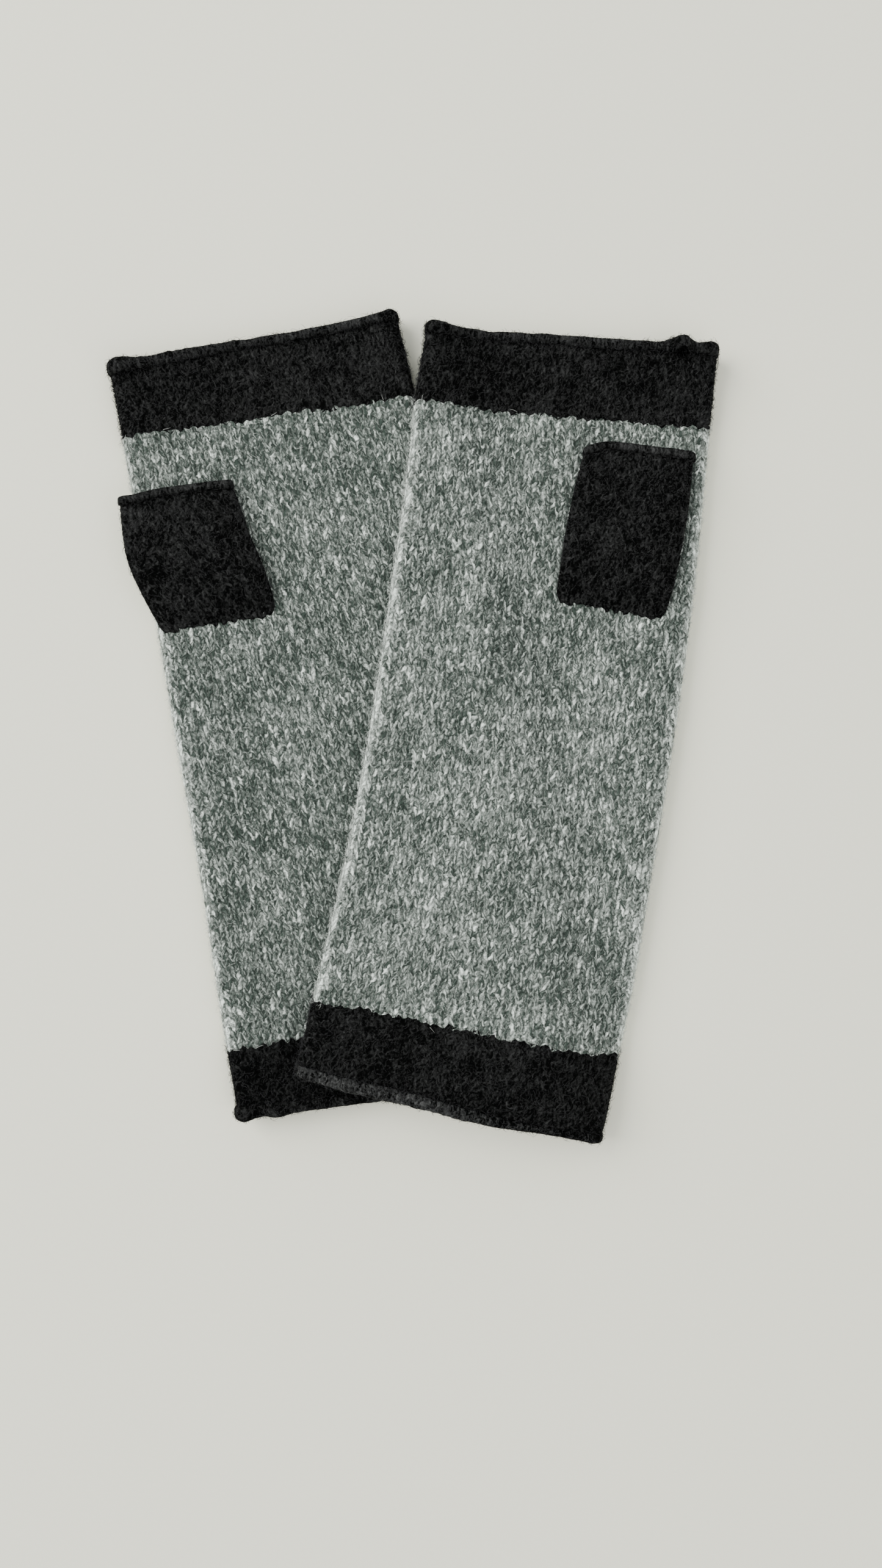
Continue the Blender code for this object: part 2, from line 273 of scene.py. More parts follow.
def pressed_flat(glove, u, v):
    """The middle surface between the rolled ends, before it has settled."""
    seed = glove["seed"]
    y = row_y(v)
    w = half_width(y) + 0.30 * MM * waves(seed, y, 0, 60 * MM)
    x, z = section(u, STITCHES, w, HALF_HEIGHT)
    y = y + course_tilt(glove, y) * x
    end = smooth((abs(y) - 0.80 * HALF_LENGTH) / (0.2 * HALF_LENGTH))
    for sign, (shift, tilt) in glove["end_shift"].items():
        y = y + np.where(np.sign(y) == sign, end * (shift + tilt * x), 0)
    y = y + 0.5 * MM * end * waves(seed + 1, u, 0, 21)
    left, right = glove["narrow"]
    narrowed = np.where(y > 0, smooth((y - 0.78 * HALF_LENGTH) / (0.22 * HALF_LENGTH)), 0)
    x = x + narrowed * (left * (0.5 - 0.5 * x / w) + right * (0.5 + 0.5 * x / w))
    px, py = to_table(glove, x, y)
    up = smooth(z / HALF_HEIGHT * 0.5 + 0.5)
    puff = 1 + 0.16 * (1 - (x / w) ** 2) + 0.16 * waves(seed + 2, x, y, 55 * MM)
    z = np.where(z > 0, z * puff, z)
    raised = END_RAISE * smooth(1 - (HALF_LENGTH - 3 * MM - abs(y)) / END_RAISE_LENGTH)
    z = z + UNDERSIDE + HALF_HEIGHT + raised + drape(glove, px, py) + 0.1 * MM * up
    return np.stack([px, py, z], -1)


def flat_part(glove, u, v):
    """The same after the cloth simulation has let it settle."""
    points = pressed_flat(glove, u, v)
    moves = glove.get("moves")
    if moves is None:
        return points
    rows, stitches = moves.shape[:2]
    x = (u % STITCHES) / STITCHES * stitches
    y = np.clip((v - SIM_ROWS[0]) / (SIM_ROWS[1] - SIM_ROWS[0]), 0, 1) * (rows - 1)
    i, j = np.floor(x).astype(int), np.minimum(np.floor(y).astype(int), rows - 2)
    fx, fy = smooth((x - i)[..., None]), smooth((y - j)[..., None])
    i, i1 = i % stitches, (i + 1) % stitches
    points = points + ((moves[j, i] * (1 - fx) + moves[j, i1] * fx) * (1 - fy)
                       + (moves[j + 1, i] * (1 - fx) + moves[j + 1, i1] * fx) * fy)
    points[..., 2] = np.maximum(points[..., 2], UNDERSIDE)
    return points


def let_settle(glove, resting_on):
    """Simulates the tube as cloth that sinks under its own weight, and keeps how far each part moves.

    resting_on is the settled grid of the glove underneath, or None. The result is this one's own.
    """
    stitches, rows = SIM_GRID
    u, v = np.meshgrid(np.arange(stitches) / stitches * STITCHES, np.linspace(*SIM_ROWS, rows))
    start = pressed_flat(glove, u, v)
    faces = [(j * stitches + i, j * stitches + (i + 1) % stitches,
              (j + 1) * stitches + (i + 1) % stitches, (j + 1) * stitches + i)
             for j in range(rows - 1) for i in range(stitches)]
    table = add_mesh("sim_table", [(x, y, (UNDERSIDE - 2 * SIM_GAP) * SIM_SCALE)
                                   for x, y in ((-3, -3), (3, -3), (3, 3), (-3, 3))], [(0, 1, 2, 3)])
    tube = add_mesh("sim_tube", (start * SIM_SCALE).reshape(-1, 3).tolist(), faces)
    solids = [table]
    if resting_on is not None:
        solids.append(add_mesh("sim_under", (resting_on * SIM_SCALE).reshape(-1, 3).tolist(), faces))
    for solid in solids:
        solid.modifiers.new("Collision", "COLLISION")
        solid.collision.thickness_outer = SIM_SCALE * (SIM_GAP if solid is table else SIM_LAYER - SIM_GAP)
        solid.collision.cloth_friction = 60
    cloth = tube.modifiers.new("Cloth", "CLOTH")
    settings, collisions = cloth.settings, cloth.collision_settings
    settings.quality = 8
    settings.mass = 0.15
    settings.tension_stiffness = settings.compression_stiffness = 15
    settings.shear_stiffness = 5
    settings.bending_stiffness = 1.0
    settings.shrink_min = -0.006
    held = tube.vertex_groups.new(name="held")            # every point softly, so nothing slides off
    held.add(range(stitches * rows), 0.25, "REPLACE")
    settings.vertex_group_mass = "held"
    settings.pin_stiffness = 0.6
    settings.air_damping = 4
    collisions.distance_min = SIM_GAP * SIM_SCALE
    collisions.use_self_collision = True
    collisions.self_distance_min = SIM_LAYER * SIM_SCALE
    collisions.self_friction = 20
    cloth.point_cache.frame_start, cloth.point_cache.frame_end = 1, SIM_FRAMES
    for frame_number in range(1, SIM_FRAMES + 1):
        bpy.context.scene.frame_set(frame_number)
    settled = tube.evaluated_get(bpy.context.evaluated_depsgraph_get()).data
    points = np.array([tuple(vertex.co) for vertex in settled.vertices]).reshape(start.shape) / SIM_SCALE
    bpy.context.scene.frame_set(1)
    for obj in (tube, *solids):
        bpy.data.meshes.remove(obj.data)
    moves = points - start
    for _ in range(2):                                    # a little smoothing takes out the jitter
        moves = (2 * moves + np.roll(moves, 1, 1) + np.roll(moves, -1, 1)) / 4
        padded = np.concatenate([moves[:1], moves, moves[-1:]])
        moves = (2 * moves + padded[:-2] + padded[2:]) / 4
    moves = np.clip(moves, SIM_LEAST, SIM_MOST)
    moves[..., 2] = np.maximum(moves[..., 2], UNDERSIDE - start[..., 2])      # not into the table
    glove["moves"] = moves
    return start + moves


def roll_up(points, over, across, along, radius):
    """Past the end of the flat part the fabric rolls outwards: over is how far past, in metres."""
    normal = np.cross(across, along)
    normal /= np.linalg.norm(normal, axis=-1, keepdims=True)
    tangent = along / np.linalg.norm(along, axis=-1, keepdims=True) * np.sign(over)[..., None]
    arc = np.minimum(abs(over), 0.499 * radius ** 2 / ROLL_SHRINK)
    angle = (radius - np.sqrt(radius ** 2 - 2 * ROLL_SHRINK * arc)) / ROLL_SHRINK
    r = radius - ROLL_SHRINK * angle
    level = np.array([SIDE_PULL, SIDE_PULL, 1.0])
    press = ROLL_FLAT * radius / radius.min()
    rolled = (points + normal * level * (press * (radius - r * np.cos(angle)))[..., None]
              + tangent * (r * np.sin(angle))[..., None])
    return np.where((abs(over) > 0)[..., None], rolled, points)


def keep_above_table(z):
    """Stops the middle surface softly above the table."""
    soft = 0.5 * MM
    return np.where(z < UNDERSIDE + soft, UNDERSIDE + soft * np.exp((z - UNDERSIDE - soft) / (2 * soft)), z)


def glove_surface(glove):
    """The glove's middle surface as a function of u and v, with its rolled ends."""
    seed = glove["seed"]
    first, last = ROLL_START, ROWS - ROLL_START

    def surface(u, v):
        u, v = np.broadcast_arrays(np.asarray(u, float), np.asarray(v, float))
        bend_u = 0.12 * waves(seed + 20, u, v, 9) + 0.10 * waves(seed + 22, u, v, 2.6, 9)
        bend_v = 0.14 * waves(seed + 21, u, v, 9) + 0.16 * waves(seed + 23, u, v, 2.6, 9)
        inner = smooth((v - first) / 4) * smooth((last - v) / 4)
        free = smooth(stitches_from(0, u, STITCHES) / 2)  # no jump where u starts again
        u, v = u + bend_u * free, v + bend_v * inner * free
        base = np.clip(v, first, last)
        points = flat_part(glove, u, base)
        over = (v - base) * ROW
        if not (over != 0).any():
            return points
        across = flat_part(glove, u + 0.05, base) - flat_part(glove, u - 0.05, base)
        inward = np.where(over > 0, base - 0.3, base)
        along = flat_part(glove, u, inward + 0.3) - flat_part(glove, u, inward)
        radius = ROLL * (1 + 0.10 * waves(seed + 5, u, 0, 16) + 0.08 * waves(seed + 7, u, 0, 2.7, 9))
        for sign, ears in glove["ears"].items():
            for place, width, size in ears:
                apart = stitches_from(place, u, STITCHES) / width
                radius = radius + np.where(np.sign(over) == sign, ROLL * size * np.exp(-apart ** 2), 0)
        points = roll_up(points, over, across, along, radius)
        points[..., 2] = keep_above_table(points[..., 2])
        return points
    return surface


def hand_top(glove, px, py):
    """The height of the hand's upper layer at a spot on the table."""
    x, y = from_table(glove, px, py)
    w = half_width(y)
    reach, fold = w - HALF_HEIGHT, math.pi * HALF_HEIGHT
    share = (np.clip(x, -w + 1 * MM, w - 1 * MM) + reach + fold / 2) / (4 * reach + 2 * fold)
    return flat_part(glove, share * STITCHES, (y + HALF_LENGTH) / ROW)[..., 2]


def thumb_surface(glove):
    """The thumb tube's middle surface as a function of u and v, and the row where it starts to roll."""
    seed, turn, length = glove["seed"], glove["thumb_turn"], glove["thumb_length"]
    base_w, middle_w, tip_w = glove["thumb_widths"]
    first_tilt, last_tilt = glove["thumb_rows"]
    left_round, right_round = glove["thumb_round"]
    last = round(length / ROW) - 1.2 * MM / ROW - 0.3

    def straight(u, v):
        t = v * ROW
        part = np.clip(t / length, 0, 1)
        w = base_w + (tip_w - base_w) * part + (middle_w - (base_w + tip_w) / 2) * 4 * part * (1 - part)
        w = w + 0.25 * MM * waves(seed + 11, t, 0, 30 * MM)
        x, q = section(u, THUMB_STITCHES, w, THUMB_HALF_HEIGHT)
        lower = (1 - q / THUMB_HALF_HEIGHT) / 2           # 0 in the upper layer, 1 in the lower one
        puff = 1 - (x / w) ** 2
        lean = glove["thumb_lean"] * smooth(1.6 * part)
        x = x + lean
        y = (1 - lower) * (t - THUMB_LIP) + lower * (THUMB_SLIT + t * (length - THUMB_SLIT) / length)
        y = y + 0.35 * MM * waves(seed + 12, u, 0, 12) * smooth(t / length)
        y = y + x * (first_tilt + (last_tilt - first_tilt) * part)
        corner = np.clip((abs(x - lean) / w - 0.55) / 0.45, 0, 1) ** 2
        y = y - corner * np.where(x < 0, left_round, right_round) * smooth((part - 0.6) / 0.4)
        under = FABRIC / 2 + RELIEF
        top = under + 2 * THUMB_HALF_HEIGHT + 0.5 * MM * puff
        high = -THUMB_LIP + (THUMB_LIP + top) * smooth((t + 0.7 * MM) / THUMB_RISE)
        low = -THUMB_LIP + (THUMB_LIP + under) * smooth(t / (3 * MM))
        z = (1 - lower) * high + lower * low
        px = x * math.cos(turn) - y * math.sin(turn) + glove["thumb_base"][0]
        py = x * math.sin(turn) + y * math.cos(turn) + glove["thumb_base"][1]
        return np.stack([px, py, z + hand_top(glove, px, py) + FABRIC / 2 + 0.6 * RELIEF], -1)

    def surface(u, v):
        u, v = np.broadcast_arrays(np.asarray(u, float), np.asarray(v, float))
        free = smooth(stitches_from(0, u, THUMB_STITCHES) / 2)
        u = u + (0.12 * waves(seed + 30, u, v, 7) + 0.08 * waves(seed + 31, u, v, 2.6, 9)) * free
        base = np.clip(v, -5, last)
        points = straight(u, base)
        over = (v - base) * ROW
        if not (over != 0).any():
            return points
        across = straight(u + 0.05, base) - straight(u - 0.05, base)
        along = straight(u, base) - straight(u, base - 0.3)
        radius = THUMB_ROLL * (1 + 0.12 * waves(seed + 6, u, 0, 8))
        for place in (0.2, 12.0):
            radius = radius + THUMB_EAR * np.exp(-stitches_from(place, u, THUMB_STITCHES) ** 2)
        rolled = roll_up(points, over, across, along, radius)
        under = u % THUMB_STITCHES > THUMB_STITCHES / 2
        lowest = points[..., 2] - 0.45 * MM               # the lower layer can't roll into the hand
        rolled[..., 2] = np.where(under, np.maximum(rolled[..., 2], lowest), rolled[..., 2])
        return rolled
    return surface, last


# ---- knitted meshes --------------------------------------------------------------------------------
def unit(vectors):
    return vectors / np.maximum(np.linalg.norm(vectors, axis=-1, keepdims=True), TINY)


def fabric_at(surface, u, v):
    """Points of a surface, and the directions there: across, along, and out of the fabric."""
    across = surface(u + STEP, v) - surface(u - STEP, v)
    along = surface(u, v + STEP) - surface(u, v - STEP)
    return surface(u, v), unit(across), unit(along), unit(np.cross(across, along))


def knit_relief(u, c, rand):
    """Height of the right side, 0 to 1: the legs of the V stand up between narrow valleys."""
    f, a = c % 1.0, u % 1.0 - 0.5
    across = (1 - (2 * f - 1) ** 2) ** 0.6
    along = np.sin(2 * math.pi * np.clip(abs(a), 0, 0.5)) ** 0.6
    uneven = rand[(np.floor(c).astype(int) * 7 + np.floor(2 * u).astype(int) * 13) % len(rand)]
    return (0.10 + 0.90 * across) * (0.35 + 0.65 * along) * (0.85 + 0.15 * uneven)


def purl_relief(u, v, rand):
    """Height of the wrong side, 0 to 1: rows of small uneven bumps."""
    arc = v + PURL_ARC * np.cos(2 * math.pi * u)
    bump = (0.5 - 0.5 * np.cos(2 * math.pi * arc)) ** 0.8
    uneven = rand[(np.floor(arc).astype(int) * 11 + np.floor(2 * u).astype(int) * 5) % len(rand)]
    return (0.25 + 0.75 * bump) * (0.7 + 0.3 * uneven)


def zigzag(u):
    """How many rows the legs of the V lie above their row's middle."""
    return SLANT * (abs(u % 1 - 0.5) - 0.25)


def calm_at_ends(u, c, c0, c1, count):
    """The rows where the legs of the V lie: at both ends they slant less and are a little uneven."""
    calm, jitter = 1.0, 0.0
    for end in (c0, c1):
        near = np.exp(-((c - end) / 0.9) ** 2)
        uneven = np.random.default_rng(round(end * 10)).uniform(-1, 1, 2 * count)
        calm = calm - 0.70 * near
        jitter = jitter + 0.30 * near * uneven[np.floor(2 * u).astype(int) % (2 * count)]
    return c + zigzag(u) * calm + jitter


def columns(count, front, back):
    """Places round a tube: front samples a stitch for its first half, back for the rest."""
    if front < 1:
        return np.arange(0, count, 1 / front)
    return np.concatenate([np.arange(0, count // 2 * front) / front,
                           count // 2 + np.arange(0, (count - count // 2) * back) / back])


def courses(c0, c1, samples):
    """Places along a tube: both ends, and that many samples a row between them."""
    low, high = math.ceil(c0), math.floor(c1)
    if samples < 1:
        between = [c for c in range(low, high + 1) if c % round(1 / samples) == 0]
    else:
        between = np.arange(low * samples, high * samples + 1) / samples
    return np.unique(np.concatenate([[c0], between, [c1]]))


def nearest(values, value):
    return int(np.argmin(abs(values - value)))


def knit_tube(name, surface, count, c0, c1, out, inn, hole=None, straight=False, relief_height=CUFF_RELIEF):
    """A closed tube of knitted fabric from row c0 to row c1, with its right side outside.

    out and inn are the samples outside and inside: a stitch in front, a stitch at the back, and a row.
    straight leaves the outer columns without the V's zigzag.
    """
    rand = np.random.default_rng(count + int(c0)).uniform(-1, 1, 997)
    grids = []
    for side, (front, back, rows) in ((1, out), (-1, inn)):
        us, cs = columns(count, front, back), courses(c0, c1, rows)
        u, c = np.meshgrid(us, cs)
        v, at = c, c
        if side == 1 and not straight:
            v, at = c + zigzag(u), calm_at_ends(u, c, c0, c1, count)
        centre, _, _, normal = fabric_at(surface, u, at)
        if side == 1:
            relief = knit_relief(u, c, rand)
        else:
            relief = purl_relief(u, v, rand) * (0.7 if max(inn) > 1 else 0.2)
        height = FABRIC / 2 + relief_height * relief
        grids.append(dict(us=us, cs=cs, u=u, v=v, co=centre + side * normal * height[..., None]))
    outer, inner = grids
    faces, uvs = [], []

    def add_face(ring):
        """One polygon through points that are each given as grid, row and column."""
        face = []
        for grid, j, i in ring:
            width = len(grid["us"])
            k = i % width
            face.append((0 if grid is outer else outer["u"].size) + j * width + k)
            uvs.append((float(grid["u"][j, k]) + (count if i >= width else 0), float(grid["v"][j, k])))
        faces.append(face)

    def in_hole(grid, j, i):
        return (hole is not None and hole[0] <= grid["us"][i] < hole[1]
                and hole[2] <= grid["cs"][j] < hole[3])

    for grid in grids:
        for j in range(len(grid["cs"]) - 1):
            for i in range(len(grid["us"])):
                if in_hole(grid, j, i):
                    continue
                ring = [(grid, j, i), (grid, j, i + 1), (grid, j + 1, i + 1), (grid, j + 1, i)]
                if grid is inner:
                    ring = [ring[1], ring[0], ring[3], ring[2]]
                add_face(ring)

    def wall(outer_run, inner_run, reverse):
        """One polygon between a run of outer points and two inner ones."""
        add_face(outer_run[::-1] + inner_run if reverse else outer_run + inner_run[::-1])

    def row_wall(j_out, j_in, i0, i1, reverse):
        for i in range(i0, i1):
            a = int(np.searchsorted(outer["us"], inner["us"][i] - 1e-9))
            b = len(outer["us"])
            if i + 1 < len(inner["us"]):
                b = int(np.searchsorted(outer["us"], inner["us"][i + 1] - 1e-9))
            wall([(outer, j_out, k) for k in range(a, b + 1)],
                 [(inner, j_in, i), (inner, j_in, i + 1)], reverse)

    row_wall(0, 0, 0, len(inner["us"]), True)
    row_wall(len(outer["cs"]) - 1, len(inner["cs"]) - 1, 0, len(inner["us"]), False)
    if hole is not None:
        i0, i1 = nearest(inner["us"], hole[0]), nearest(inner["us"], hole[1])
        j0, j1 = nearest(inner["cs"], hole[2]), nearest(inner["cs"], hole[3])
        row_wall(nearest(outer["cs"], hole[2]), j0, i0, i1, False)
        row_wall(nearest(outer["cs"], hole[3]), j1, i0, i1, True)
        for column, reverse in ((hole[0], True), (hole[1], False)):
            i_out, i_in = nearest(outer["us"], column), nearest(inner["us"], column)
            for j in range(j0, j1):
                low, high = nearest(outer["cs"], inner["cs"][j]), nearest(outer["cs"], inner["cs"][j + 1])
                wall([(outer, k, i_out) for k in range(low, high + 1)],
                     [(inner, j, i_in), (inner, j + 1, i_in)], reverse)

    points = np.concatenate([grid["co"].reshape(-1, 3) for grid in grids])
    tube = add_mesh(name, points.tolist(), faces)
    layer = tube.data.uv_layers.new(name="knit")
    layer.uv.foreach_set("vector", np.array(uvs, np.float32).ravel())
    tube.data.shade_smooth()
    return tube


def fuzz(name, surface, count, v0, v1, seed, number, length, folds, side=1):
    """Loose fibres that stand out of the fabric, as thin three-sided threads.

    folds is the share of them at the folds, and side is -1 for the fabric's wrong side.
    """
    rng = np.random.default_rng(seed)
    v = rng.uniform(v0, v1, number)
    at_fold = rng.random(number) < folds
    u = np.where(at_fold, rng.choice([0.0, count / 2], number) + rng.normal(0, 0.5, number),
                 rng.uniform(0, count / 2, number)) % count
    root, across, along, normal = fabric_at(surface, u, v)
    normal = normal * side
    root = root + normal * (FABRIC / 2 + FIBRE_HEIGHT)
    turn = rng.uniform(0, 2 * math.pi, number)
    lean = rng.uniform(0.3, 1.3, number)
    way = across * np.cos(turn)[:, None] + along * np.sin(turn)[:, None]
    bend = across * np.cos(turn * 3 + 1)[:, None] + along * np.sin(turn * 3 + 1)[:, None]
    long = rng.uniform(0.4, 1.0, number) ** 1.5 * length
    points = []
    for step in range(FIBRE_POINTS):
        t = step / (FIBRE_POINTS - 1)
        points.append(root + (normal * (lean * t * (1.15 - 0.7 * t))[:, None] + way * t
                              + bend * 0.45 * t * t) * long[:, None])
    points = np.array(points)                             # by step, fibre and axis
    points[..., 2] = np.maximum(points[..., 2], LOWEST_FIBRE)
    one = unit(np.cross(way, normal))
    two = unit(np.cross(one, points[-1] - points[0]))
    verts = np.empty((number, FIBRE_POINTS, FIBRE_SIDES, 3))
    for step in range(FIBRE_POINTS):
        radius = FIBRE_RADIUS * (1 - 0.7 * step / (FIBRE_POINTS - 1))
        for corner in range(FIBRE_SIDES):
            angle = corner * 2 * math.pi / FIBRE_SIDES
            verts[:, step, corner] = points[step] + radius * (one * math.cos(angle) + two * math.sin(angle))
    faces = []
    for first in range(0, number * FIBRE_POINTS * FIBRE_SIDES, FIBRE_POINTS * FIBRE_SIDES):
        last = first + (FIBRE_POINTS - 1) * FIBRE_SIDES
        for ring in range(first, last, FIBRE_SIDES):
            for corner in range(FIBRE_SIDES):
                a, b = ring + corner, ring + (corner + 1) % FIBRE_SIDES
                faces.append((a, b, b + FIBRE_SIDES, a + FIBRE_SIDES))
        faces += [(first + 2, first + 1, first), (last, last + 1, last + 2)]
    fibres = add_mesh(name, verts.reshape(-1, 3).tolist(), faces)
    fibres.data.shade_smooth()
    return fibres


# ---- materials -------------------------------------------------------------------------------------
class Shader:
    """A material's node tree, with short calls for its sums."""

    def __init__(self, name, roughness=0.9, specular=0.2):
        self.material = bpy.data.materials.new(name)
        self.material.use_nodes = True
        self.tree = self.material.node_tree
        self.surface = self.tree.nodes["Principled BSDF"]
        self.set("Roughness", roughness)
        self.set("Specular IOR Level", specular)

    def give(self, socket, value):
        if isinstance(value, bpy.types.NodeSocket):
            self.tree.links.new(value, socket)
        else:
            socket.default_value = value

    def set(self, name, value):
        self.give(self.surface.inputs[name], value)

    def node(self, kind, inputs=(), output=0, **settings):
        node = self.tree.nodes.new("ShaderNode" + kind)
        for key, value in settings.items():
            setattr(node, key, value)
        for key, value in inputs.items() if isinstance(inputs, dict) else enumerate(inputs):
            self.give(node.inputs[key], value)
        return node.outputs[output]

    def split(self, kind, value):
        """The three outputs of a SeparateXYZ or SeparateColor node."""
        return self.node("Separate" + kind, (value,)).node.outputs

    def place(self):
        """The spot on the object, in metres."""
        return self.node("TexCoord", output="Object")

    def math(self, operation, *values):
        return self.node("Math", values, operation=operation)

    def remap(self, value, low, high, to_low=0.0, to_high=1.0):
        return self.node("MapRange", (value, low, high, to_low, to_high), interpolation_type="SMOOTHSTEP")

    def mix(self, factor, a, b, blend="MIX"):
        a, b = ((*value, 1) if isinstance(value, tuple) else value for value in (a, b))
        return self.node("Mix", {0: factor, 6: a, 7: b}, output=2, data_type="RGBA", blend_type=blend)

    def join(self, x, y, z):
        return self.node("CombineXYZ", (x, y, z))


def knit_material(name, dark, light, ply, spread, streaks, middle, fleck, curve=1.0, shade_low=0.6,
                  sheen=0.0, bump=0.5, end_shade_power=1.5, heads=0.0, fold_highlight=0.0, purl=False, painted_shade_ramp=None):
    """Yarn of two plies, dark and light, knitted in stocking stitch, or its wrong side with purl.

    A tone runs from dark to light. middle is its mean, to which these add: ply the twist of the plies,
    spread each leg's own shade, streaks the loose fibres, fleck the flecks, heads a few bright legs, and
    fold_highlight a painted highlight that makes the legs at the folds paler. painted_shade_ramp is a
    painted shade that darkens it from one stitch to another by an amount. shade_low is how dark the
    painted shade in the valleys between the legs is, and end_shade_power how fast the painted shade
    darkens a leg towards its ends.
    """
    s = Shader(name, specular=0.02)
    m = s.math
    u, v, _ = s.split("XYZ", s.node("UVMap", uv_map="knit"))
    place = s.place()
    wobble = s.split("Color", s.node("TexNoise", {"Vector": place, "Scale": 800.0, "Detail": 1.0,
                                                  "Roughness": 0.5}, output=1))
    u = m("ADD", u, m("MULTIPLY", m("SUBTRACT", wobble[0], 0.5), 0.45))
    v = m("ADD", v, m("MULTIPLY", m("SUBTRACT", wobble[1], 0.5), 1.17))
    # a runs across a stitch, c counts the slanted rows, and f runs across a leg of the V
    stitch = m("FLOOR", u)
    a = m("SUBTRACT", m("SUBTRACT", u, stitch), 0.5)
    arm = m("ABSOLUTE", a)
    right = m("GREATER_THAN", a, 0.0)
    if purl:
        c = m("ADD", v, m("MULTIPLY", m("COSINE", m("MULTIPLY", u, 2 * math.pi)), PURL_ARC))
    else:
        c = m("SUBTRACT", v, m("MULTIPLY", m("SUBTRACT", arm, 0.25), SLANT))
    row = m("FLOOR", c)
    f = m("SUBTRACT", c, row)
    half = m("ADD", m("MULTIPLY", stitch, 2.0), right)
    # each leg's own random numbers
    chance = s.node("TexWhiteNoise", (s.join(half, row, 0.5),), output="Value")
    more = s.split("Color", chance.node.outputs["Color"])
    # the leg's own section and length, 0 at its sides and 1 on its crest; it shapes the bump and the
    # painted shade
    across = m("SUBTRACT", 1.0, m("POWER", m("ABSOLUTE", m("SUBTRACT", m("MULTIPLY", f, 2.0), 1.0)), 2.0))
    along = m("SUBTRACT", 1.0, m("POWER", m("ABSOLUTE", m("SUBTRACT", m("MULTIPLY", arm, 4.0), 1.0)), 2.0))
    crest = m("MULTIPLY", across, m("ADD", 0.15, m("MULTIPLY", m("POWER", along, end_shade_power), 0.85)))
    # the plies wind round each other along the leg
    hand = m("SUBTRACT", m("MULTIPLY", right, 2.0), 1.0)
    turns = m("ADD", m("ADD", chance, m("MULTIPLY", arm, 1.7)),
              m("MULTIPLY", m("MULTIPLY", m("SUBTRACT", f, 0.5), hand), 0.40))
    wave = s.remap(m("SINE", m("MULTIPLY", turns, 2 * math.pi)), -0.5, 0.5, -1.0, 1.0)
    fibre_at = s.join(m("ADD", m("MULTIPLY", arm, 3.0), m("MULTIPLY", chance, 37.0)),
                      m("MULTIPLY", f, 7.0), m("MULTIPLY", row, 1.7))
    fibres = s.node("TexNoise", {"Vector": fibre_at, "Scale": 1.4, "Detail": 3.0, "Roughness": 0.6})
    patches = s.node("TexNoise", {"Vector": place, "Scale": 60.0, "Detail": 2.0})
    soft = s.node("TexNoise", {"Vector": place, "Scale": 1500.0, "Detail": 3.0, "Roughness": 0.6})
    # loose fibres that lie across the stitches, in three directions
    loose = None
    for angle, seed in ((62.0, 0.0), (115.0, 9.0), (20.0, 21.0)):
        cosine, sine = math.cos(math.radians(angle)), math.sin(math.radians(angle))
        x = m("MULTIPLY", u, 1.5)
        p = m("ADD", m("MULTIPLY", x, cosine * 0.42), m("MULTIPLY", v, sine * 0.42))
        q = m("SUBTRACT", m("MULTIPLY", v, cosine * 2.3), m("MULTIPLY", x, sine * 2.3))
        streak = s.node("TexNoise", {"Vector": s.join(p, q, seed), "Scale": 1.0, "Detail": 2.0,
                                     "Roughness": 0.7, "Distortion": 0.4})
        loose = streak if loose is None else m("MAXIMUM", loose, streak)
    fleck_at = s.join(m("ADD", m("MULTIPLY", a, 3.0), m("MULTIPLY", stitch, 3.7)),
                      m("MULTIPLY", c, 1.3), m("MULTIPLY", right, 5.0))
    flecks = s.node("TexNoise", {"Vector": fleck_at, "Scale": 1.25, "Detail": 1.5, "Roughness": 0.6})
    tone = m("ADD", middle, s.remap(more[0], 0.82, 1.0, 0.0, heads))
    # stitches to the nearest of a glove's folds, at u = 0, 32 and 64
    from_middle = m("ABSOLUTE", m("SUBTRACT", m("ABSOLUTE", m("SUBTRACT", u, STITCHES / 2)), STITCHES / 4))
    from_fold = m("SUBTRACT", STITCHES / 4, from_middle)
    # painted highlight: the legs near the folds are made paler, each by its own random amount
    fold_highlight_legs = m("ADD", 0.25, m("MULTIPLY", more[2], 1.1))
    tone = m("ADD", tone, m("MULTIPLY", s.remap(from_fold, 0.3, 1.5, fold_highlight, 0.0), fold_highlight_legs))
    # painted shade: the tone darkens from one stitch to another, so the stitches before it look lit
    if painted_shade_ramp is not None:
        first, last, amount = painted_shade_ramp
        tone = m("ADD", tone, s.remap(u, first, last, 0.0, -amount))
    for value, centre, amount in ((wave, 0.0, ply), (more[1], 0.5, spread), (fibres, 0.5, 1.6 * spread),
                                  (flecks, 0.5, fleck), (patches, 0.5, 0.35), (soft, 0.5, 0.9),
                                  (loose, 0.57, streaks)):
        tone = m("ADD", tone, m("MULTIPLY", m("SUBTRACT", value, centre), amount))
    tone = m("POWER", s.node("Clamp", (tone, 0.0, 1.0)), curve)
    # painted shade: the colour darkens in the valleys between the legs and towards each leg's ends, where
    # it passes under its neighbours
    shade = s.remap(crest, 0.0, 0.8, shade_low, 1.0)
    s.set("Base Color", s.mix(1.0, s.mix(tone, dark, light),
                              s.node("CombineColor", (shade, shade, shade)), "MULTIPLY"))
    height = m("ADD", m("MULTIPLY", crest, 0.8), m("MULTIPLY", m("ABSOLUTE", wave), 0.3))
    for value, amount in ((fibres, 0.5), (soft, 0.5), (loose, 0.6)):
        height = m("ADD", height, m("MULTIPLY", value, amount))
    s.set("Normal", s.node("Bump", {"Strength": bump, "Distance": 0.25 * MM, "Height": height}))
    s.set("Sheen Weight", sheen)
    s.set("Sheen Roughness", 0.6)
    s.set("Sheen Tint", (*light, 1))
    return s.material


